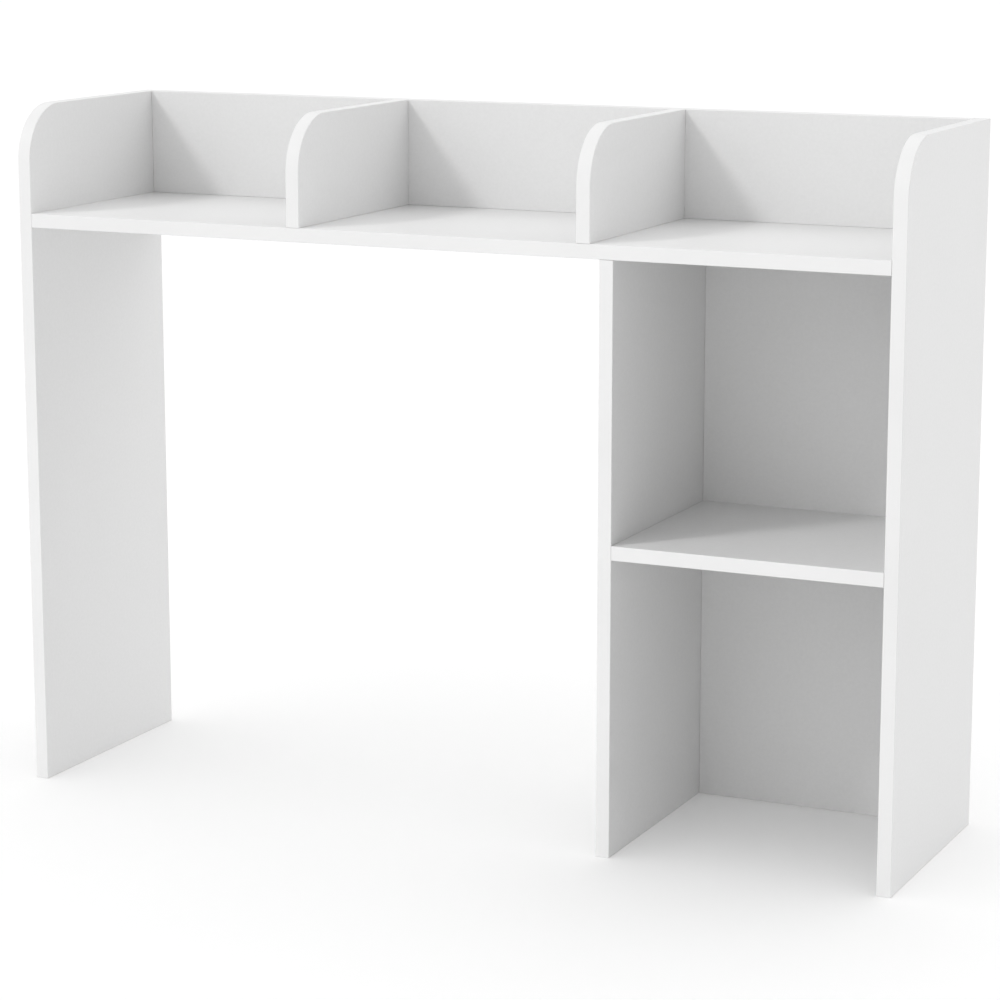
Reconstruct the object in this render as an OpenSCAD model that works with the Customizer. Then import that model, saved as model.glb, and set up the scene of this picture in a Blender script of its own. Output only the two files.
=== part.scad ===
// Desk hutch: a white laminated board unit that stands on a desk. A wide bay on the left
// spans a monitor, two cubbies stand beside it on the right, and three trays run along the top.
//
// Origin: centre of the footprint, on the desk. +X is right, +Y is back, +Z is up.
// The lock joints are drawn locked, with each cam at angle 0.

/* [Overall size] */
// width over both side panels, mm
overall_width = 1000; // [900:10:1200]
// depth from the front edges to the rear faces, mm
overall_depth = 270; // [240:5:320]
// height of the side panels, mm
overall_height = 750; // [700:10:850]
// board thickness, mm
board = 15; // [15:1:16]
// radius of the rounded upper front corners, mm
corner_radius = 60; // [30:5:75]

/* [Compartments] */
// top face of the long shelf, above the desk, mm
shelf_top = 634; // [580:2:660]
// top face of the small shelf between the cubbies, mm
middle_shelf_top = 329; // [250:2:400]
// clear width of the two cubbies, mm
cubby_width = 288; // [230:2:360]

/* [Edge bands] */
// thickness of the plastic edge band, mm
band = 1; // [0.8:0.2:2]
// rounding of the band's long edges, mm
band_round = 0.7; // [0.3:0.1:0.7]

/* [Cam locks] */
// radius of a cam, mm
cam_r = 7.42; // [7.4:0.01:7.46]
// height of a cam, mm
cam_h = 12; // [11.6:0.1:12]
// from the neighbouring board's face to the cam's centre, mm
cam_reach = 34; // [32:1:36]
// from the front or rear edge to the nearest cam, mm
cam_setback = 37; // [37:1:60]

/* [Hidden] */
$fn = 48;

// Upright dividers between the trays.
divider_count = 2;
// Hairline left between two boards that butt together.
seam = 0.2;
// Overrun of a cutter past the face it opens.
over = 1;

half_w = overall_width / 2;
half_d = overall_depth / 2;
half_board = board / 2;

// Inner faces of the sides, and the span of the boards between them.
inner_x = half_w - board;
span_x = inner_x - seam;

// Front face of the back boards, and the rear end of the boards that stop at it.
back_y = half_d - board;
inner_rear_y = back_y - seam;

shelf_bottom = shelf_top - board;
upright_top = shelf_bottom - seam;
middle_shelf_bottom = middle_shelf_top - board;

// The upright's faces.
upright_right_x = inner_x - cubby_width;
upright_left_x = upright_right_x - board;
upright_mid_x = upright_left_x + half_board;

// The trays are of equal width.
tray_width = (2 * inner_x - divider_count * board) / (divider_count + 1);
function divider_x(i) = -inner_x + (i + 1) * tray_width + i * board;

// Mid-height of the low board behind the trays.
rail_mid_z = (shelf_top + overall_height) / 2;
rail_dowel_step = 32;

// Y of the fastenings along the full-depth boards and along the middle shelf.
shelf_cam_y = [-half_d + cam_setback, half_d - cam_setback];
shelf_dowel_y = [-half_d + cam_setback + 32, half_d - cam_setback - 32];
middle_cam_y = [-half_d + cam_setback, inner_rear_y - cam_setback];
middle_dowel_y = [-half_d + cam_setback + 32, inner_rear_y - cam_setback - 32];

// Z of the fastenings up the back of the cubbies.
back_cam_z = [96, upright_top - 96];
back_dowel_z = [192, upright_top - 192];
back_mid_y = half_d - half_board;

// Colours of the materials, for the preview only.
laminate = [0.94, 0.94, 0.93];
pvc = [0.97, 0.97, 0.96];
zinc = [0.62, 0.64, 0.67];
steel = [0.72, 0.73, 0.75];
beech = [0.80, 0.66, 0.47];

// ---------------------------------------------------------------- cam locks

// Every cam lock is drawn in one local frame: the origin is the cam's centre on the exposed
// face of its board, +Z leaves that face, and +X points at the neighbouring board.
bolt_depth = half_board;
cam_recess = 0.2;
cam_bore_r = 7.5;
cam_bore_depth = 12.5;

cavity_r = 5.1;
cavity_offset = 0.95;
cavity_h = 7.6;
neck_slot_h = 5;
entry_r = 3.7;
cross_length = 7;
cross_width = 1.4;
cross_depth = 2.4;

head_r = 3.5;
head_x = 0.3;
neck_r = 2.1;
neck_end_x = 10;
shaft_r = 3.25;
collar_r = 3.95;
collar_length = 3;
thread_r = 3;
thread_core_r = 2.3;
thread_length = 11;
thread_pitch = 1.375;
thread_turns = 8;
bolt_bore_r = 4;

// Where each cam sits: [centre on the exposed face, rotation from the local frame].
from_below_left = [0, 180, 0];
from_below_right = [180, 0, 0];
from_left_up = [0, -90, 0];
from_rear_left = [90, 0, 180];
from_rear_right = [-90, 0, 0];

cams_shelf_left = [for (y = shelf_cam_y) [[-inner_x + cam_reach, y, shelf_bottom], from_below_left]];
cams_shelf_right = [for (y = shelf_cam_y) [[inner_x - cam_reach, y, shelf_bottom], from_below_right]];
cams_upright_top = [for (y = shelf_cam_y) [[upright_left_x, y, shelf_bottom - cam_reach], from_left_up]];
cams_middle_left = [
    for (y = middle_cam_y) [[upright_right_x + cam_reach, y, middle_shelf_bottom], from_below_left]
];
cams_middle_right = [
    for (y = middle_cam_y) [[inner_x - cam_reach, y, middle_shelf_bottom], from_below_right]
];
cams_rail_left = [[[-inner_x + cam_reach, half_d, rail_mid_z], from_rear_left]];
cams_rail_right = [[[inner_x - cam_reach, half_d, rail_mid_z], from_rear_right]];
cams_back_left = [for (z = back_cam_z) [[upright_right_x + cam_reach, half_d, z], from_rear_left]];
cams_back_right = [for (z = back_cam_z) [[inner_x - cam_reach, half_d, z], from_rear_right]];

module placed(places) {
    for (place = places)
        translate(place[0])
            rotate(place[1])
                children();
}

module along_x(from_x, to_x, r) {
    translate([from_x, 0, -bolt_depth])
        rotate([0, 90, 0])
            cylinder(h = to_x - from_x, r = r);
}

// The turning lock: a drum with an off-centre chamber that holds the bolt's head, a slot half
// way round for the bolt's neck, and a round way in opposite the locked position.
module cam() {
    color(zinc)
    difference() {
        translate([0, 0, -cam_recess - cam_h])
            cylinder(h = cam_h, r = cam_r);
        translate([-cavity_offset, 0, -bolt_depth - cavity_h / 2])
            cylinder(h = cavity_h, r = cavity_r);
        neck_slot();
        along_x(-cam_r - over, -cavity_r + 2, entry_r);
        cross_recess();
        arrow_mark();
    }
}

// The slot runs clockwise from the locked side (+X) to the way in (-X).
module neck_slot() {
    rotate([0, 0, -180])
        rotate_extrude(angle = 180)
            translate([cavity_r - 2, -bolt_depth - neck_slot_h / 2])
                square([cam_r + over - cavity_r + 2, neck_slot_h]);
    translate([cavity_r - 2, -neck_slot_h / 2, -bolt_depth - neck_slot_h / 2])
        cube([cam_r + over - cavity_r + 2, neck_slot_h, neck_slot_h]);
}

module cross_recess() {
    for (turn = [45, 135])
        rotate([0, 0, turn])
            translate([-cross_length / 2, -cross_width / 2, -cam_recess - cross_depth])
                cube([cross_length, cross_width, cross_depth + over]);
}

// A shallow arrow on the exposed face, pointing at the way in.
module arrow_mark() {
    translate([0, 0, -cam_recess - 0.4])
        linear_extrude(height = 0.4 + over)
            polygon([[-6.6, 0], [-4.6, 1.3], [-4.6, -1.3]]);
}

module cam_bore() {
    translate([0, 0, -cam_bore_depth])
        cylinder(h = cam_bore_depth + over, r = cam_bore_r);
    along_x(0, cam_reach + over, bolt_bore_r);
}

// Ridged thread outline for a fastener that points along its axis: [radius, distance] points.
function ridge_points(from, pitch, turns, core, crest) = [
    for (i = [0 : turns - 1], step = [0 : 2])
        [
            step == 1 ? crest : core,
            from + (i + [0.1, 0.45, 0.8][step]) * pitch
        ]
];

// The threaded bolt that the cam pulls on, held in the neighbouring board.
module cam_bolt() {
    thread_end_x = cam_reach + thread_length;
    color(steel)
    translate([0, 0, -bolt_depth])
        rotate([0, 90, 0]) {
            rotate_extrude()
                polygon(concat(
                    [[0, head_x], [neck_r, head_x], [neck_r, neck_end_x - 1], [shaft_r, neck_end_x + 0.5]],
                    [[shaft_r, cam_reach - collar_length], [collar_r, cam_reach - collar_length]],
                    [[collar_r, cam_reach], [thread_core_r, cam_reach]],
                    ridge_points(cam_reach, thread_pitch, thread_turns - 1, thread_core_r, thread_r),
                    [[thread_core_r, thread_end_x - 1.4], [0, thread_end_x]]
                ));
            translate([0, 0, head_x])
                sphere(r = head_r);
        }
}

// The hole in the neighbouring board that the bolt is screwed into.
module cam_bolt_hole() {
    along_x(cam_reach - over, cam_reach + thread_length + 0.5, thread_r + 0.05);
}

// ---------------------------------------------------------------- dowels

// Local frame of a dowel: the origin is on the neighbouring board's face, +X enters it.
dowel_r = 4;
dowel_hole_r = 4.05;
dowel_in_face = 10;
dowel_in_end = 20;
dowel_chamfer = 1;

from_left_face = [0, 0, 180];
from_right_face = [0, 0, 0];
from_top_face = [0, -90, 0];

dowels_shelf_left = [
    for (y = shelf_dowel_y) [[-inner_x, y, shelf_bottom + half_board], from_left_face]
];
dowels_shelf_right = [
    for (y = shelf_dowel_y) [[inner_x, y, shelf_bottom + half_board], from_right_face]
];
dowels_rail_left = [
    for (s = [-1, 1]) [[-inner_x, back_mid_y, rail_mid_z + s * rail_dowel_step], from_left_face]
];
dowels_rail_right = [
    for (s = [-1, 1]) [[inner_x, back_mid_y, rail_mid_z + s * rail_dowel_step], from_right_face]
];
dowels_middle_left = [
    for (y = middle_dowel_y) [[upright_right_x, y, middle_shelf_bottom + half_board], from_left_face]
];
dowels_middle_right = [
    for (y = middle_dowel_y) [[inner_x, y, middle_shelf_bottom + half_board], from_right_face]
];
dowels_back_left = [for (z = back_dowel_z) [[upright_right_x, back_mid_y, z], from_left_face]];
dowels_back_right = [for (z = back_dowel_z) [[inner_x, back_mid_y, z], from_right_face]];
dowels_upright_top = [for (y = shelf_dowel_y) [[upright_mid_x, y, shelf_bottom], from_top_face]];

module dowel() {
    color(beech)
    translate([-dowel_in_end, 0, 0])
        rotate([0, 90, 0])
            rotate_extrude()
                polygon([
                    [0, 0],
                    [dowel_r - dowel_chamfer, 0],
                    [dowel_r, dowel_chamfer],
                    [dowel_r, dowel_in_end + dowel_in_face - dowel_chamfer],
                    [dowel_r - dowel_chamfer, dowel_in_end + dowel_in_face],
                    [0, dowel_in_end + dowel_in_face]
                ]);
}

module dowel_hole_in_end() {
    translate([-dowel_in_end - 0.5, 0, 0])
        rotate([0, 90, 0])
            cylinder(h = dowel_in_end + 0.5 + over, r = dowel_hole_r);
}

module dowel_hole_in_face() {
    translate([-over, 0, 0])
        rotate([0, 90, 0])
            cylinder(h = dowel_in_face + 0.5 + over, r = dowel_hole_r);
}

// ---------------------------------------------------------------- screws

// Local frame of a board screw: the origin is where it enters the outer board, +Z is its way in.
screw_r = 3.5;
screw_core_r = 2.5;
screw_length = 50;
screw_head_r = 5;
screw_head_h = 3;
screw_shank = 12;
screw_pitch = 3;
screw_turns = 11;
screw_socket_r = 2.3;
screw_socket_depth = 2.6;
screw_hole_r = 3.55;
screw_sink_r = 5.1;
screw_recess = 0.2;

upward = [0, 0, 0];
forward = [90, 0, 0];

divider_screw_y = [-85, 70];
screws_divider_base = [
    for (i = [0 : divider_count - 1], y = divider_screw_y)
        [[divider_x(i) + half_board, y, shelf_bottom], upward]
];
screws_rail_base = [
    for (s = [-1 : 1]) [[s * (tray_width + board), back_mid_y, shelf_bottom], upward]
];
screws_divider_rear = [
    for (i = [0 : divider_count - 1]) [[divider_x(i) + half_board, half_d, rail_mid_z], forward]
];
screws_middle_rear = [
    for (part = [0.25, 0.75])
        [[upright_right_x + part * cubby_width, half_d, middle_shelf_bottom + half_board], forward]
];

module board_screw() {
    color(steel)
    difference() {
        translate([0, 0, screw_recess])
            rotate_extrude()
                polygon(concat(
                    [[0, 0], [screw_head_r, 0], [screw_head_r, 0.6]],
                    [[screw_r, screw_head_h], [screw_r, screw_shank], [screw_core_r, screw_shank + 0.5]],
                    ridge_points(screw_shank + 0.5, screw_pitch, screw_turns, screw_core_r, screw_r),
                    [[screw_core_r, screw_length - 3], [0, screw_length]]
                ));
        translate([0, 0, screw_recess - over])
            cylinder(h = screw_socket_depth + over, r = screw_socket_r, $fn = 6);
    }
}

module screw_hole() {
    translate([0, 0, -over])
        cylinder(h = screw_length + 1 + over, r = screw_hole_r);
    translate([0, 0, -over])
        cylinder(h = over + screw_recess + 0.6, r = screw_sink_r);
    translate([0, 0, screw_recess + 0.6])
        cylinder(h = screw_head_h - 0.5, r1 = screw_sink_r, r2 = screw_hole_r);
}

// ---------------------------------------------------------------- edge bands

// Band section: X is outward from the glue line, Y runs across the board's edge.
module band_section() {
    union() {
        square([band - band_round, board]);
        translate([0, band_round])
            square([band, board - 2 * band_round]);
        for (y = [band_round, board - band_round])
            translate([band - band_round, y])
                intersection() {
                    circle(r = band_round);
                    translate([0, -band_round])
                        square([band_round, 2 * band_round]);
                }
    }
}

// A straight band up the front edge: it starts at the origin and its outer face is on -Y.
module front_band_up(height) {
    translate([0, band, 0])
        rotate([0, 0, -90])
            linear_extrude(height = height)
                band_section();
}

module rear_band_up(height) {
    translate([board, -band, 0])
        rotate([0, 0, 90])
            linear_extrude(height = height)
                band_section();
}

// A straight band along a shelf's edge, from the origin towards +X, outer face on -Y or +Y.
module front_band_across(length) {
    translate([0, band, board])
        rotate([-90, 0, 0])
            rotate([0, 90, 0])
                linear_extrude(height = length)
                    band_section();
}

module rear_band_across(length) {
    translate([length, -band, board])
        rotate([0, 0, 180])
            rotate([-90, 0, 0])
                rotate([0, 90, 0])
                    linear_extrude(height = length)
                        band_section();
}

// A band on an upright edge that turns back over the rounded corner and along the top.
module corner_band(height, corner, top_length) {
    front_band_up(height - corner);
    translate([0, corner, height - corner])
        rotate([0, -90, 180])
            rotate_extrude(angle = 90)
                translate([corner - band, 0])
                    band_section();
    translate([0, corner, height - band])
        rotate([0, -90, -90])
            linear_extrude(height = top_length)
                band_section();
}

// ---------------------------------------------------------------- boards

// An upright board with a rounded upper front corner, from the origin, with its front on Y = 0.
module rounded_board(depth, height, corner) {
    rotate([90, 0, 90])
        linear_extrude(height = board)
            union() {
                square([depth, height - corner]);
                translate([corner, 0])
                    square([depth - corner, height]);
                translate([corner, height - corner])
                    intersection() {
                        circle(r = corner);
                        translate([-corner, 0])
                            square([corner, corner]);
                    }
            }
}

// The core of a side panel, inside its bands.
module side_core(x) {
    translate([x, -half_d + band, 0])
        rounded_board(overall_depth - 2 * band, overall_height - band, corner_radius - band);
}

module left_side_panel() {
    color(laminate)
    difference() {
        side_core(-half_w);
        placed(concat(cams_shelf_left, cams_rail_left))
            cam_bolt_hole();
        placed(concat(dowels_shelf_left, dowels_rail_left))
            dowel_hole_in_face();
    }
}

module right_side_panel() {
    color(laminate)
    difference() {
        side_core(inner_x);
        placed(concat(cams_shelf_right, cams_rail_right, cams_middle_right, cams_back_right))
            cam_bolt_hole();
        placed(concat(dowels_shelf_right, dowels_rail_right, dowels_middle_right, dowels_back_right))
            dowel_hole_in_face();
    }
}

module top_shelf() {
    color(laminate)
    difference() {
        translate([-span_x, -half_d + band, shelf_bottom])
            cube([2 * span_x, overall_depth - 2 * band, board]);
        placed(concat(cams_shelf_left, cams_shelf_right))
            cam_bore();
        placed(concat(dowels_shelf_left, dowels_shelf_right))
            dowel_hole_in_end();
        placed(cams_upright_top)
            cam_bolt_hole();
        placed(dowels_upright_top)
            dowel_hole_in_face();
        placed(concat(screws_divider_base, screws_rail_base))
            screw_hole();
    }
}

module upper_back_panel() {
    color(laminate)
    difference() {
        translate([-span_x, back_y, shelf_top + seam])
            cube([2 * span_x, board, overall_height - band - shelf_top - seam]);
        placed(concat(cams_rail_left, cams_rail_right))
            cam_bore();
        placed(concat(dowels_rail_left, dowels_rail_right))
            dowel_hole_in_end();
        placed(concat(screws_rail_base, screws_divider_rear))
            screw_hole();
    }
}

module tray_divider(i) {
    height = overall_height - shelf_top - seam;
    color(laminate)
    difference() {
        translate([divider_x(i), -half_d + band, shelf_top + seam])
            rounded_board(inner_rear_y + half_d - band, height - band, corner_radius - band);
        placed(concat(screws_divider_base, screws_divider_rear))
            screw_hole();
    }
}

module centre_upright() {
    color(laminate)
    difference() {
        translate([upright_left_x, -half_d + band, 0])
            cube([board, overall_depth - 2 * band, upright_top]);
        placed(cams_upright_top)
            cam_bore();
        placed(dowels_upright_top)
            dowel_hole_in_end();
        placed(concat(cams_middle_left, cams_back_left))
            cam_bolt_hole();
        placed(concat(dowels_middle_left, dowels_back_left))
            dowel_hole_in_face();
    }
}

module middle_shelf() {
    color(laminate)
    difference() {
        translate([upright_right_x + seam, -half_d + band, middle_shelf_bottom])
            cube([cubby_width - 2 * seam, inner_rear_y + half_d - band, board]);
        placed(concat(cams_middle_left, cams_middle_right))
            cam_bore();
        placed(concat(dowels_middle_left, dowels_middle_right))
            dowel_hole_in_end();
        placed(screws_middle_rear)
            screw_hole();
    }
}

module cubby_back_panel() {
    color(laminate)
    difference() {
        translate([upright_right_x + seam, back_y, 0])
            cube([cubby_width - 2 * seam, board, upright_top]);
        placed(concat(cams_back_left, cams_back_right))
            cam_bore();
        placed(concat(dowels_back_left, dowels_back_right))
            dowel_hole_in_end();
        placed(screws_middle_rear)
            screw_hole();
    }
}

// ---------------------------------------------------------------- banded edges

module side_front_band(x) {
    color(pvc)
    translate([x, -half_d, 0])
        corner_band(overall_height, corner_radius, overall_depth - corner_radius);
}

module side_rear_band(x) {
    color(pvc)
    translate([x, half_d, 0])
        rear_band_up(overall_height - band);
}

module divider_band(i) {
    color(pvc)
    translate([divider_x(i), -half_d, shelf_top + seam])
        corner_band(
            overall_height - shelf_top - seam,
            corner_radius,
            inner_rear_y + half_d - corner_radius
        );
}

module top_shelf_front_band() {
    color(pvc)
    translate([-span_x, -half_d, shelf_bottom])
        front_band_across(2 * span_x);
}

module top_shelf_rear_band() {
    color(pvc)
    translate([-span_x, half_d, shelf_bottom])
        rear_band_across(2 * span_x);
}

module upper_back_top_band() {
    color(pvc)
    translate([-span_x, back_y, overall_height])
        rotate([-90, 0, 0])
            front_band_across(2 * span_x);
}

module upright_front_band() {
    color(pvc)
    translate([upright_left_x, -half_d, 0])
        front_band_up(upright_top);
}

module upright_rear_band() {
    color(pvc)
    translate([upright_left_x, half_d, 0])
        rear_band_up(upright_top);
}

module middle_shelf_front_band() {
    color(pvc)
    translate([upright_right_x + seam, -half_d, middle_shelf_bottom])
        front_band_across(cubby_width - 2 * seam);
}

// ---------------------------------------------------------------- assembly

left_side_panel();
right_side_panel();
top_shelf();
upper_back_panel();
tray_divider(0);  // tray_divider_left
tray_divider(1);  // tray_divider_right
centre_upright();
middle_shelf();
cubby_back_panel();

side_front_band(-half_w);  // left_side_front_band
side_rear_band(-half_w);  // left_side_rear_band
side_front_band(inner_x);  // right_side_front_band
side_rear_band(inner_x);  // right_side_rear_band
top_shelf_front_band();
top_shelf_rear_band();
upper_back_top_band();
divider_band(0);  // divider_left_band
divider_band(1);  // divider_right_band
upright_front_band();
upright_rear_band();
middle_shelf_front_band();

placed(concat(cams_shelf_left, cams_rail_left)) cam_bolt();  // cam_bolts_left_side
placed(concat(cams_shelf_right, cams_rail_right, cams_middle_right, cams_back_right)) cam_bolt();  // cam_bolts_right_side
placed(concat(cams_middle_left, cams_back_left)) cam_bolt();  // cam_bolts_upright
placed(cams_upright_top) cam_bolt();  // cam_bolts_top_shelf

placed(concat(dowels_shelf_left, dowels_rail_left)) dowel();  // dowels_left_side
placed(concat(dowels_shelf_right, dowels_rail_right, dowels_middle_right, dowels_back_right)) dowel();  // dowels_right_side
placed(concat(dowels_middle_left, dowels_back_left)) dowel();  // dowels_upright
placed(dowels_upright_top) dowel();  // dowels_top_shelf

placed(screws_divider_base) board_screw();  // divider_base_screws
placed(screws_rail_base) board_screw();  // back_rail_screws
placed(screws_divider_rear) board_screw();  // divider_rear_screws
placed(screws_middle_rear) board_screw();  // middle_shelf_screws

placed([cams_shelf_left[0]]) cam();  // cam_shelf_left_front
placed([cams_shelf_left[1]]) cam();  // cam_shelf_left_rear
placed([cams_shelf_right[0]]) cam();  // cam_shelf_right_front
placed([cams_shelf_right[1]]) cam();  // cam_shelf_right_rear
placed([cams_upright_top[0]]) cam();  // cam_upright_top_front
placed([cams_upright_top[1]]) cam();  // cam_upright_top_rear
placed([cams_middle_left[0]]) cam();  // cam_middle_left_front
placed([cams_middle_left[1]]) cam();  // cam_middle_left_rear
placed([cams_middle_right[0]]) cam();  // cam_middle_right_front
placed([cams_middle_right[1]]) cam();  // cam_middle_right_rear
placed(cams_rail_left) cam();  // cam_rail_left
placed(cams_rail_right) cam();  // cam_rail_right
placed([cams_back_left[0]]) cam();  // cam_back_left_lower
placed([cams_back_left[1]]) cam();  // cam_back_left_upper
placed([cams_back_right[0]]) cam();  // cam_back_right_lower
placed([cams_back_right[1]]) cam();  // cam_back_right_upper
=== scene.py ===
"""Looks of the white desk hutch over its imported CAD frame.

The boards and the fittings are the CAD's own meshes with procedural materials. The plastic edge
bands are swept again at a fine pitch, because their roundings catch the light. All lengths are in
metres, in the frame's axes: +X right, +Y back, +Z up, with the desk at z = 0.
"""

import math

import bmesh
import bpy
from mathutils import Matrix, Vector


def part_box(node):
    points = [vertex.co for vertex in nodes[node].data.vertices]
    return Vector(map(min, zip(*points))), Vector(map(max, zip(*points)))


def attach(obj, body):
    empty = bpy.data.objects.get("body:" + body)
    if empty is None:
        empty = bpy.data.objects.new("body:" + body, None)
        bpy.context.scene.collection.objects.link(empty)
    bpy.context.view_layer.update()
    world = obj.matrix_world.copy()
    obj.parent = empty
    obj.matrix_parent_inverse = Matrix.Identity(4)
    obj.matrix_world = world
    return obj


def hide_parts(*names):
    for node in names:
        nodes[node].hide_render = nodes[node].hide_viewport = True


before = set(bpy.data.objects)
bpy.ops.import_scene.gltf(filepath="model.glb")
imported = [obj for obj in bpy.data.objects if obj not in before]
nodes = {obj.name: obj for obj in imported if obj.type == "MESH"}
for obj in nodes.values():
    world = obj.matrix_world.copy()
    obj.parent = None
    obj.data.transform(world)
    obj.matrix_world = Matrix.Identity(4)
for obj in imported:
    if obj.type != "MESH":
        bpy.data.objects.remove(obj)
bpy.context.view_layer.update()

scene = bpy.context.scene
BODY = "carcass"

# ------------------------------------------------------------------ camera

CAMERA_AT = (1.3925, -2.9766, 1.0018)
CAMERA_YAW = 24.90  # degrees, to the left of straight back
CAMERA_PITCH = -11.47  # degrees, so it looks down
CAMERA_LENS = 112.4  # millimetres
SENSOR_WIDTH = 36.0  # millimetres
NEAR_CLIP = 0.05
FAR_CLIP = 120.0

camera_data = bpy.data.cameras.new("camera")
camera_data.sensor_width = SENSOR_WIDTH
camera_data.lens = CAMERA_LENS
camera_data.clip_start = NEAR_CLIP
camera_data.clip_end = FAR_CLIP
camera = bpy.data.objects.new("camera", camera_data)
camera.location = CAMERA_AT
camera.rotation_euler = (
    math.radians(90 + CAMERA_PITCH),
    0.0,
    math.radians(CAMERA_YAW),
)
scene.collection.objects.link(camera)
scene.camera = camera

# ------------------------------------------------------------------ node helpers

# A Mix node has sockets for every data type. These carry its vector and its colour.
MIX_VECTOR_A, MIX_VECTOR_B, MIX_VECTOR_RESULT = 4, 5, 1
MIX_COLOUR_A, MIX_COLOUR_B, MIX_COLOUR_RESULT = 6, 7, 2


class Shader:
    """A material's node tree, with short calls to add and link nodes."""

    def __init__(self, name):
        self.material = bpy.data.materials.new(name)
        self.material.use_nodes = True
        self.tree = self.material.node_tree
        self.tree.nodes.clear()
        self.output = self.add("ShaderNodeOutputMaterial")
        self.surface = self.add("ShaderNodeBsdfPrincipled")
        self.link(self.surface.outputs["BSDF"], self.output.inputs["Surface"])

    def add(self, kind, **settings):
        node = self.tree.nodes.new(kind)
        for key, value in settings.items():
            setattr(node, key, value)
        return node

    def link(self, source, target):
        self.tree.links.new(source, target)

    def feed(self, target, value):
        """Links a socket, or sets a plain value."""
        if isinstance(value, bpy.types.NodeSocket):
            self.link(value, target)
        else:
            target.default_value = value

    def set_surface(self, values):
        """Feeds the surface's sockets, by their names."""
        for name, value in values.items():
            self.feed(self.surface.inputs[name], value)

    def math(self, operation, a, b=None):
        node = self.add("ShaderNodeMath", operation=operation)
        self.feed(node.inputs[0], a)
        if b is not None:
            self.feed(node.inputs[1], b)
        return node.outputs[0]

    def object_axes(self):
        """The point in the object's own frame, and its X, Y and Z apart."""
        place = self.add("ShaderNodeTexCoord").outputs["Object"]
        parts = self.add("ShaderNodeSeparateXYZ")
        self.link(place, parts.inputs[0])
        return place, parts.outputs

    def normal_axes(self):
        """X, Y and Z of the surface's normal in the object's own frame."""
        parts = self.add("ShaderNodeSeparateXYZ")
        self.link(self.add("ShaderNodeTexCoord").outputs["Normal"], parts.inputs[0])
        return parts.outputs

    def noise(self, place, scale, detail=2.0, roughness=0.5, stretch=(1, 1, 1)):
        """Noise with scale features to a metre, before stretch."""
        mapping = self.add("ShaderNodeMapping")
        mapping.inputs["Scale"].default_value = stretch
        self.link(place, mapping.inputs["Vector"])
        node = self.add("ShaderNodeTexNoise")
        node.inputs["Scale"].default_value = scale
        node.inputs["Detail"].default_value = detail
        node.inputs["Roughness"].default_value = roughness
        self.link(mapping.outputs[0], node.inputs["Vector"])
        return node.outputs["Fac"]

    def colour_of(self, factor):
        """The colour output beside a noise's factor output."""
        return factor.node.outputs["Color"]

    def ramp(self, factor, stops):
        """Colour ramp from (position, colour) stops."""
        node = self.add("ShaderNodeValToRGB")
        first, last = stops[0], stops[-1]
        node.color_ramp.elements[0].position = first[0]
        node.color_ramp.elements[0].color = (*first[1], 1)
        node.color_ramp.elements[1].position = last[0]
        node.color_ramp.elements[1].color = (*last[1], 1)
        for position, colour in stops[1:-1]:
            element = node.color_ramp.elements.new(position)
            element.color = (*colour, 1)
        self.link(factor, node.inputs["Fac"])
        return node.outputs["Color"]

    def grey_range(self, factor, low, high):
        """Spreads a factor of 0 to 1 from low to high."""
        node = self.add("ShaderNodeMapRange")
        node.inputs["To Min"].default_value = low
        node.inputs["To Max"].default_value = high
        self.link(factor, node.inputs["Value"])
        return node.outputs["Result"]

    def mix(self, factor, a, b):
        """Colour a where the factor is 0, colour b where it is 1."""
        node = self.add("ShaderNodeMix", data_type="RGBA")
        self.feed(node.inputs["Factor"], factor)
        self.feed(node.inputs[MIX_COLOUR_A], a)
        self.feed(node.inputs[MIX_COLOUR_B], b)
        return node.outputs[MIX_COLOUR_RESULT]

    def mix_vectors(self, factor, a, b):
        """Vector a where the factor is 0, vector b where it is 1."""
        node = self.add("ShaderNodeMix", data_type="VECTOR")
        self.feed(node.inputs["Factor"], factor)
        self.feed(node.inputs[MIX_VECTOR_A], a)
        self.feed(node.inputs[MIX_VECTOR_B], b)
        return node.outputs[MIX_VECTOR_RESULT]

    def bump(self, height, distance, strength):
        """Normal of a relief, distance metres deep."""
        node = self.add("ShaderNodeBump")
        node.inputs["Strength"].default_value = strength
        node.inputs["Distance"].default_value = distance
        self.link(height, node.inputs["Height"])
        return node.outputs["Normal"]


def grey(level):
    """A neutral colour with full alpha."""
    return (level, level, level, 1)


def dress(obj, material):
    """Gives every material slot of an object the material."""
    if not obj.data.materials:
        obj.data.materials.append(material)
    for slot in obj.material_slots:
        slot.material = material


# ------------------------------------------------------------------ laminated boards

LAMINATE = (0.764, 0.764, 0.764)
LAMINATE_WARM = (0.754, 0.754, 0.752)
LAMINATE_SPECK = (0.742, 0.742, 0.741)
LAMINATE_LIGHT = (0.782, 0.782, 0.782)
LAMINATE_ROUGHNESS = (0.38, 0.50)
LAMINATE_SPECULAR = 0.4
PEARL_DEPTH = 0.00006

CHIP_SHADES = [
    (0.15, (0.33, 0.22, 0.12)),
    (0.4, (0.50, 0.36, 0.21)),
    (0.7, (0.60, 0.45, 0.28)),
    (0.9, (0.70, 0.56, 0.38)),
]
CHIP_DUST = (0.52, 0.39, 0.24)
CHIP_BEND = 0.0015
CHIP_DEPTH = 0.0004
RAW_ROUGHNESS = 0.9

# A point is on a broad face if it is this near to it and its normal points through the board.
FACE_DEPTH = 0.0003
FACE_NORMAL = 0.7


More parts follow.
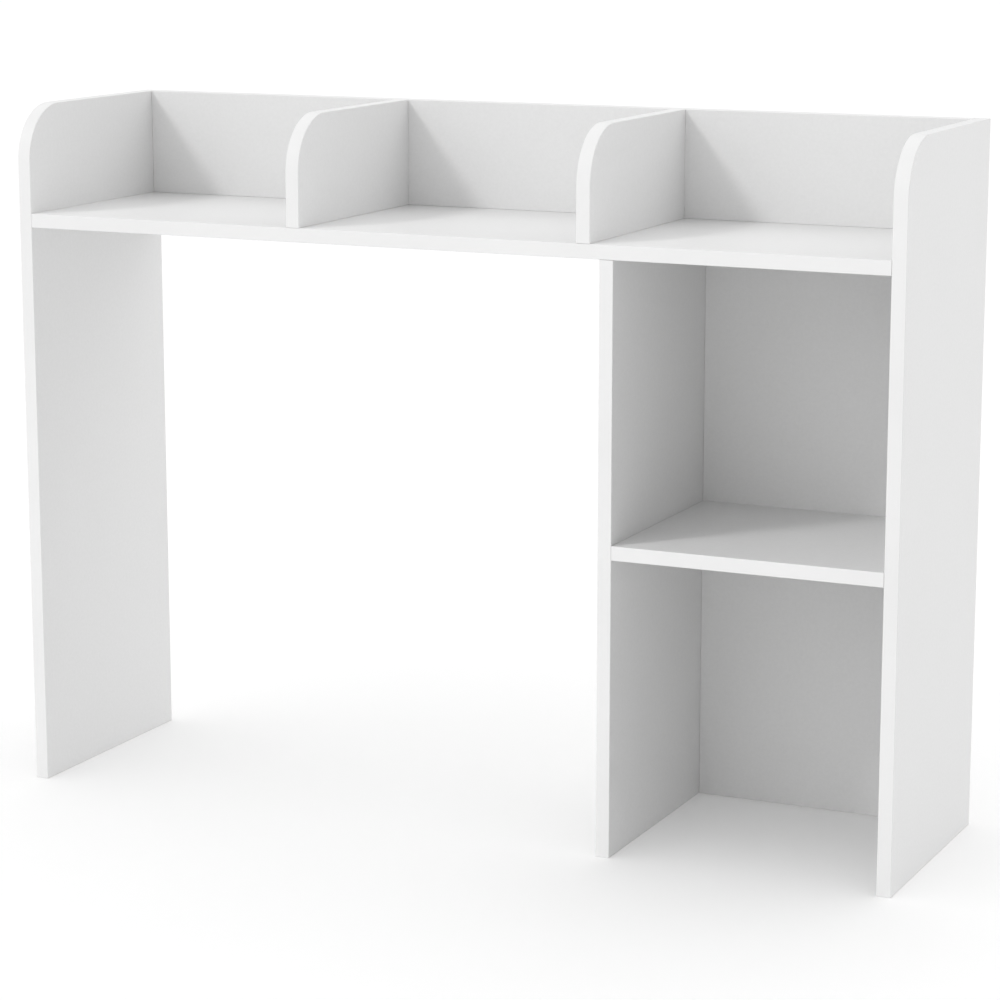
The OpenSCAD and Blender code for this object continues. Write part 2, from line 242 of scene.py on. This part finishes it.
def broad_faces(s, axes, axis, low, high):
    """1 on a board's two broad faces, 0 on its edges and in its holes."""
    to_low = s.math("ABSOLUTE", s.math("SUBTRACT", axes[axis], low))
    to_high = s.math("ABSOLUTE", s.math("SUBTRACT", axes[axis], high))
    near = s.math("LESS_THAN", s.math("MINIMUM", to_low, to_high), FACE_DEPTH)
    through = s.math("ABSOLUTE", s.normal_axes()[axis])
    return s.math("MULTIPLY", near, s.math("GREATER_THAN", through, FACE_NORMAL))


def melamine(s, place):
    """Colour, roughness and normal of the white face: a faint print under a pearl texture."""
    cloud = s.noise(place, 5.0, detail=3.0)
    even = s.ramp(cloud, [(0.3, LAMINATE_WARM), (0.7, LAMINATE)])
    print_grain = s.noise(place, 260.0, detail=3.0, roughness=0.7)
    speckle = s.ramp(print_grain, [(0.35, LAMINATE_SPECK), (0.65, LAMINATE_LIGHT)])
    smear = s.noise(place, 14.0, detail=4.0, roughness=0.6)
    pearl = s.noise(place, 700.0, detail=2.0, roughness=0.6)
    return (
        s.mix(0.5, even, speckle),
        s.grey_range(smear, *LAMINATE_ROUGHNESS),
        s.bump(pearl, PEARL_DEPTH, 0.8),
    )


def particle_board(s, place):
    """Colour and normal of the raw core: bent chips of several shades, with dust between."""
    bend = s.noise(place, 900.0, detail=2.0)
    warped = s.add("ShaderNodeVectorMath", operation="MULTIPLY_ADD")
    s.link(s.colour_of(bend), warped.inputs[0])
    warped.inputs[1].default_value = (CHIP_BEND, CHIP_BEND, CHIP_BEND)
    s.link(place, warped.inputs[2])
    chips = s.add("ShaderNodeTexVoronoi", feature="F1")
    chips.inputs["Scale"].default_value = 560.0
    s.link(warped.outputs[0], chips.inputs["Vector"])
    shades = s.ramp(chips.outputs["Color"], CHIP_SHADES)
    dust = s.noise(place, 2200.0, detail=3.0)
    height = s.math("ADD", chips.outputs["Distance"], dust)
    return (
        s.mix(s.grey_range(dust, 0.1, 0.8), shades, (*CHIP_DUST, 1)),
        s.bump(height, CHIP_DEPTH, 0.6),
    )


def laminate_material(name, axis, low, high):
    """White melamine on a board's two broad faces, particle board on its edges and in its holes.

    axis is 0, 1 or 2, the way through the board, and low and high are its faces on that axis.
    """
    s = Shader(name)
    place, axes = s.object_axes()
    face = broad_faces(s, axes, axis, low, high)
    white, gloss, pearl_normal = melamine(s, place)
    core, chip_normal = particle_board(s, place)
    s.set_surface(
        {
            "Base Color": s.mix(face, core, white),
            "Roughness": s.mix(face, grey(RAW_ROUGHNESS), gloss),
            "Specular IOR Level": LAMINATE_SPECULAR,
            "Normal": s.mix_vectors(face, chip_normal, pearl_normal),
        }
    )
    return s.material


# The way through each board: 0 for the uprights, 2 for the shelves, 1 for the backs.
BOARD_AXIS = {
    "left_side_panel": 0,
    "right_side_panel": 0,
    "centre_upright": 0,
    "tray_divider_left": 0,
    "tray_divider_right": 0,
    "top_shelf": 2,
    "middle_shelf": 2,
    "upper_back_panel": 1,
    "cubby_back_panel": 1,
}

for node, axis in BOARD_AXIS.items():
    low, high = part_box(node)
    dress(nodes[node], laminate_material("laminate_" + node, axis, low[axis], high[axis]))

# ------------------------------------------------------------------ fittings

ZINC_DARK = (0.33, 0.34, 0.35)
ZINC_PALE = (0.55, 0.56, 0.58)
PLATING = [
    (0.3, (0.60, 0.61, 0.64)),
    (0.55, (0.70, 0.71, 0.72)),
    (0.8, (0.66, 0.64, 0.58)),
]
BEECH_DARK = (0.58, 0.40, 0.24)
BEECH_PALE = (0.70, 0.52, 0.33)
BEECH_FLECK = (0.42, 0.27, 0.15)


def zinc_material():
    """Die-cast zinc: dull grey, mottled by the casting, rubbed brighter in places."""
    s = Shader("cast_zinc")
    place, _ = s.object_axes()
    mottle = s.noise(place, 320.0, detail=5.0, roughness=0.65)
    grain = s.noise(place, 2600.0, detail=2.0)
    s.set_surface(
        {
            "Base Color": s.ramp(mottle, [(0.3, ZINC_DARK), (0.7, ZINC_PALE)]),
            "Metallic": 1.0,
            "Roughness": s.grey_range(mottle, 0.34, 0.58),
            "Normal": s.bump(grain, 0.00004, 0.6),
        }
    )
    return s.material


def plated_material():
    """Bright zinc plating on turned steel, with a slight tint where the plating is thin."""
    s = Shader("zinc_plated_steel")
    place, _ = s.object_axes()
    tint = s.noise(place, 180.0, detail=3.0)
    scratch = s.noise(place, 1800.0, detail=2.0)
    s.set_surface(
        {
            "Base Color": s.ramp(tint, PLATING),
            "Metallic": 1.0,
            "Roughness": s.grey_range(scratch, 0.22, 0.38),
            "Normal": s.bump(scratch, 0.00002, 0.5),
        }
    )
    return s.material


def beech_material():
    """Turned beech: pale tan with short darker flecks along the grain."""
    s = Shader("beech_dowel_wood")
    place, _ = s.object_axes()
    grain = s.noise(place, 260.0, detail=4.0, stretch=(0.15, 1, 1))
    fleck = s.noise(place, 1400.0, detail=2.0, stretch=(0.2, 1, 1))
    wood = s.ramp(grain, [(0.3, BEECH_DARK), (0.7, BEECH_PALE)])
    s.set_surface(
        {
            "Base Color": s.mix(s.grey_range(fleck, 0.0, 0.5), wood, (*BEECH_FLECK, 1)),
            "Roughness": 0.7,
            "Normal": s.bump(fleck, 0.0001, 0.5),
        }
    )
    return s.material


zinc = zinc_material()
plated = plated_material()
beech = beech_material()
for node, obj in nodes.items():
    if node.startswith("cam_bolts") or node.endswith("_screws"):
        dress(obj, plated)
    elif node.startswith("cam_"):
        dress(obj, zinc)
    elif node.startswith("dowels"):
        dress(obj, beech)

# ------------------------------------------------------------------ edge bands

BAND = (0.788, 0.788, 0.787)
BAND_THICK = 0.001
BAND_ROUND = 0.0007
ROUND_STEPS = 5
CORNER_RADIUS = 0.060
CORNER_STEPS = 40


def band_material():
    """Extruded white plastic edge band: an even satin, with faint drawn lines."""
    s = Shader("edge_band_plastic")
    place, _ = s.object_axes()
    cloud = s.noise(place, 9.0, detail=3.0)
    drawn = s.noise(place, 700.0, detail=2.0)
    s.set_surface(
        {
            "Base Color": s.ramp(cloud, [(0.3, LAMINATE), (0.7, BAND)]),
            "Roughness": s.grey_range(drawn, 0.52, 0.62),
            "Specular IOR Level": 0.4,
            "Normal": s.bump(drawn, 0.00002, 0.5),
        }
    )
    return s.material


def band_outline(width):
    """Closed outline of a band's section, as (start point, start normal, end normal) edges.

    Points and normals are (out, across) pairs. out is measured from the band's outer face, so
    the glue line is at -BAND_THICK. An edge ends where the next one starts.
    """
    half = width / 2
    points = [(-BAND_THICK, -half, 0.0, -1.0)]
    for side in (-1, 1):
        centre = side * (half - BAND_ROUND)
        for i in range(ROUND_STEPS + 1):
            turn = math.pi / 2 * i / ROUND_STEPS
            if side > 0:
                turn = math.pi / 2 - turn
            # turn 0 faces sideways, a quarter turn faces out
            out, across = math.sin(turn), side * math.cos(turn)
            at = (-BAND_ROUND + BAND_ROUND * out, centre + BAND_ROUND * across)
            points.append((*at, out, across))
    points.append((-BAND_THICK, half, 0.0, 1.0))
    edges = [(a[:2], a[2:], b[2:]) for a, b in zip(points, points[1:])]
    edges.append((points[-1][:2], (-1.0, 0.0), (-1.0, 0.0)))
    return edges


def sweep_band(node, stations, across):
    """A band swept along stations of (point on the outer face's centre line, outward normal).

    across is the unit vector over the board's thickness. Shading normals are set from the
    section itself, so flat faces stay flat and roundings are smooth.
    """
    name = node + "_strip"
    low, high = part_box(node)
    width = sum((high[i] - low[i]) * abs(across[i]) for i in range(3))
    edges = band_outline(width)
    count = len(edges)
    across = Vector(across)
    stations = [(Vector(point), Vector(outward)) for point, outward in stations]
    bm = bmesh.new()
    rings = [
        [bm.verts.new(point + outward * at[0] + across * at[1]) for at, _, _ in edges]
        for point, outward in stations
    ]
    path_direction = stations[1][0] - stations[0][0]
    forward = stations[0][1].cross(across).dot(path_direction) > 0

    normals = []
    for i in range(len(stations) - 1):
        out_a, out_b = stations[i][1], stations[i + 1][1]
        for k, (_, start, end) in enumerate(edges):
            n = (k + 1) % count
            corners = [
                (rings[i][k], out_a * start[0] + across * start[1]),
                (rings[i][n], out_a * end[0] + across * end[1]),
                (rings[i + 1][n], out_b * end[0] + across * end[1]),
                (rings[i + 1][k], out_b * start[0] + across * start[1]),
            ]
            if not forward:
                corners.reverse()
            face = bm.faces.new([vertex for vertex, _ in corners])
            face.smooth = True
            normals.extend(normal.normalized() for _, normal in corners)
    for ring, at_start in ((rings[0], True), (rings[-1], False)):
        order = list(ring)
        if at_start == forward:
            order.reverse()
        face = bm.faces.new(order)
        face.smooth = True
        face.normal_update()
        normals.extend([face.normal.copy()] * count)

    mesh = bpy.data.meshes.new(name)
    bm.to_mesh(mesh)
    bm.free()
    mesh.normals_split_custom_set(normals)
    piece = bpy.data.objects.new(name, mesh)
    scene.collection.objects.link(piece)
    dress(piece, band_plastic)
    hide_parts(node)
    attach(piece, BODY)


def rounded_stations(node):
    """Up the front edge of an upright board, round its corner and back along its top."""
    low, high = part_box(node)
    middle = (low.x + high.x) / 2
    turn_y, turn_z = low.y + CORNER_RADIUS, high.z - CORNER_RADIUS
    stations = [((middle, low.y, low.z), FORWARD)]
    for i in range(CORNER_STEPS + 1):
        turn = math.pi / 2 * i / CORNER_STEPS
        out = (0, -math.cos(turn), math.sin(turn))
        at = (middle, turn_y + CORNER_RADIUS * out[1], turn_z + CORNER_RADIUS * out[2])
        stations.append((at, out))
    stations.append(((middle, high.y, high.z), UP))
    return stations


def straight_stations(node, outward, across):
    """The two ends of a straight band, on the middle of its outer face."""
    start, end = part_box(node)
    for i in range(3):
        if across[i]:
            start[i] = end[i] = (start[i] + end[i]) / 2
        elif outward[i] < 0:
            end[i] = start[i]
        elif outward[i] > 0:
            start[i] = end[i]
    return [(start, outward), (end, outward)]


RIGHT, UP = (1, 0, 0), (0, 0, 1)
FORWARD, BACKWARD = (0, -1, 0), (0, 1, 0)

ROUNDED_BANDS = (
    "left_side_front_band",
    "right_side_front_band",
    "divider_left_band",
    "divider_right_band",
)
# Each straight band, the way it faces and the way across the board's thickness.
STRAIGHT_BANDS = (
    ("left_side_rear_band", BACKWARD, RIGHT),
    ("right_side_rear_band", BACKWARD, RIGHT),
    ("upright_front_band", FORWARD, RIGHT),
    ("upright_rear_band", BACKWARD, RIGHT),
    ("top_shelf_front_band", FORWARD, UP),
    ("top_shelf_rear_band", BACKWARD, UP),
    ("middle_shelf_front_band", FORWARD, UP),
    ("upper_back_top_band", UP, BACKWARD),
)

band_plastic = band_material()
for node in ROUNDED_BANDS:
    sweep_band(node, rounded_stations(node), RIGHT)
for node, outward, across in STRAIGHT_BANDS:
    sweep_band(node, straight_stations(node, outward, across), across)

# ------------------------------------------------------------------ floor

FLOOR_REACH = 50.0
FLOOR_DROP = 0.0002  # keeps the floor clear of the board ends that stand on it
FLOOR_GLOW = 0.05
FLOOR_SHADES = [(0.3, (0.94, 0.94, 0.94)), (0.7, (0.95, 0.95, 0.95))]


def floor_material():
    """A smooth white studio sweep, lit a little from below as a light table is."""
    s = Shader("studio_floor")
    place, _ = s.object_axes()
    cloud = s.noise(place, 1.5, detail=2.0)
    s.set_surface(
        {
            "Base Color": s.ramp(cloud, FLOOR_SHADES),
            "Roughness": 0.9,
            "Specular IOR Level": 0.1,
            "Emission Color": grey(1),
            "Emission Strength": FLOOR_GLOW,
        }
    )
    return s.material


floor_corners = [
    (x * FLOOR_REACH, y * FLOOR_REACH, 0) for x, y in ((-1, -1), (1, -1), (1, 1), (-1, 1))
]
floor_mesh = bpy.data.meshes.new("floor")
floor_mesh.from_pydata(floor_corners, [], [(0, 1, 2, 3)])
floor = bpy.data.objects.new("floor", floor_mesh)
floor.location = (0, 0, -FLOOR_DROP)
scene.collection.objects.link(floor)
dress(floor, floor_material())

# ------------------------------------------------------------------ light

LAMP_DISTANCE = 4.0  # keeps the lamps apart in the scene, a sun lights alike from anywhere


def light_group(name, state):
    """A light linking group that holds the floor, to INCLUDE it alone or to EXCLUDE it."""
    group = bpy.data.collections.new(name)
    group.objects.link(floor)
    group.collection_objects[0].light_linking.link_state = state
    return group


def soft_sun(name, azimuth, elevation, spread, strength, lights):
    """A distant softbox, spread degrees wide. Azimuth 0 is in front and 90 on the right."""
    data = bpy.data.lights.new(name, "SUN")
    data.energy = strength
    data.angle = math.radians(spread)
    lamp = bpy.data.objects.new(name, data)
    turn, rise = math.radians(azimuth), math.radians(elevation)
    away = Vector(
        (
            math.sin(turn) * math.cos(rise),
            -math.cos(turn) * math.cos(rise),
            math.sin(rise),
        )
    )
    lamp.location = away * LAMP_DISTANCE
    lamp.rotation_euler = (-away).to_track_quat("-Z", "Y").to_euler()
    lamp.light_linking.receiver_collection = lights
    scene.collection.objects.link(lamp)


FLOOR_ONLY = light_group("lights_the_floor_only", "INCLUDE")
HUTCH_ONLY = light_group("lights_the_hutch_only", "EXCLUDE")
soft_sun("key", 320, 40, 9, 0.75, HUTCH_ONLY)
soft_sun("front_left_softbox", 330, 35, 50, 0.48, HUTCH_ONLY)
soft_sun("rear_softbox", 180, 60, 50, 0.60, HUTCH_ONLY)
soft_sun("right_softbox", 120, 35, 50, 0.46, HUTCH_ONLY)
soft_sun("floor_softbox", 0, 88, 110, 1.25, FLOOR_ONLY)

# The air is white at the horizon, where it meets the floor, and dimmer overhead.
HORIZON_STRENGTH = 1.0
OVERHEAD_STRENGTH = 0.65
HORIZON_RISE = 0.30  # where the fade ends, as the sine of the elevation

world = bpy.data.worlds.new("studio_air")
world.use_nodes = True
scene.world = world
air = world.node_tree
background = air.nodes["Background"]
background.inputs["Color"].default_value = grey(1)
direction = air.nodes.new("ShaderNodeTexCoord")
split = air.nodes.new("ShaderNodeSeparateXYZ")
fade = air.nodes.new("ShaderNodeMapRange")
fade.inputs["From Min"].default_value = 0.0
fade.inputs["From Max"].default_value = HORIZON_RISE
fade.inputs["To Min"].default_value = HORIZON_STRENGTH
fade.inputs["To Max"].default_value = OVERHEAD_STRENGTH
air.links.new(direction.outputs["Generated"], split.inputs[0])
air.links.new(split.outputs["Z"], fade.inputs["Value"])
air.links.new(fade.outputs["Result"], background.inputs["Strength"])

scene.view_settings.view_transform = "Standard"
scene.view_settings.look = "None"
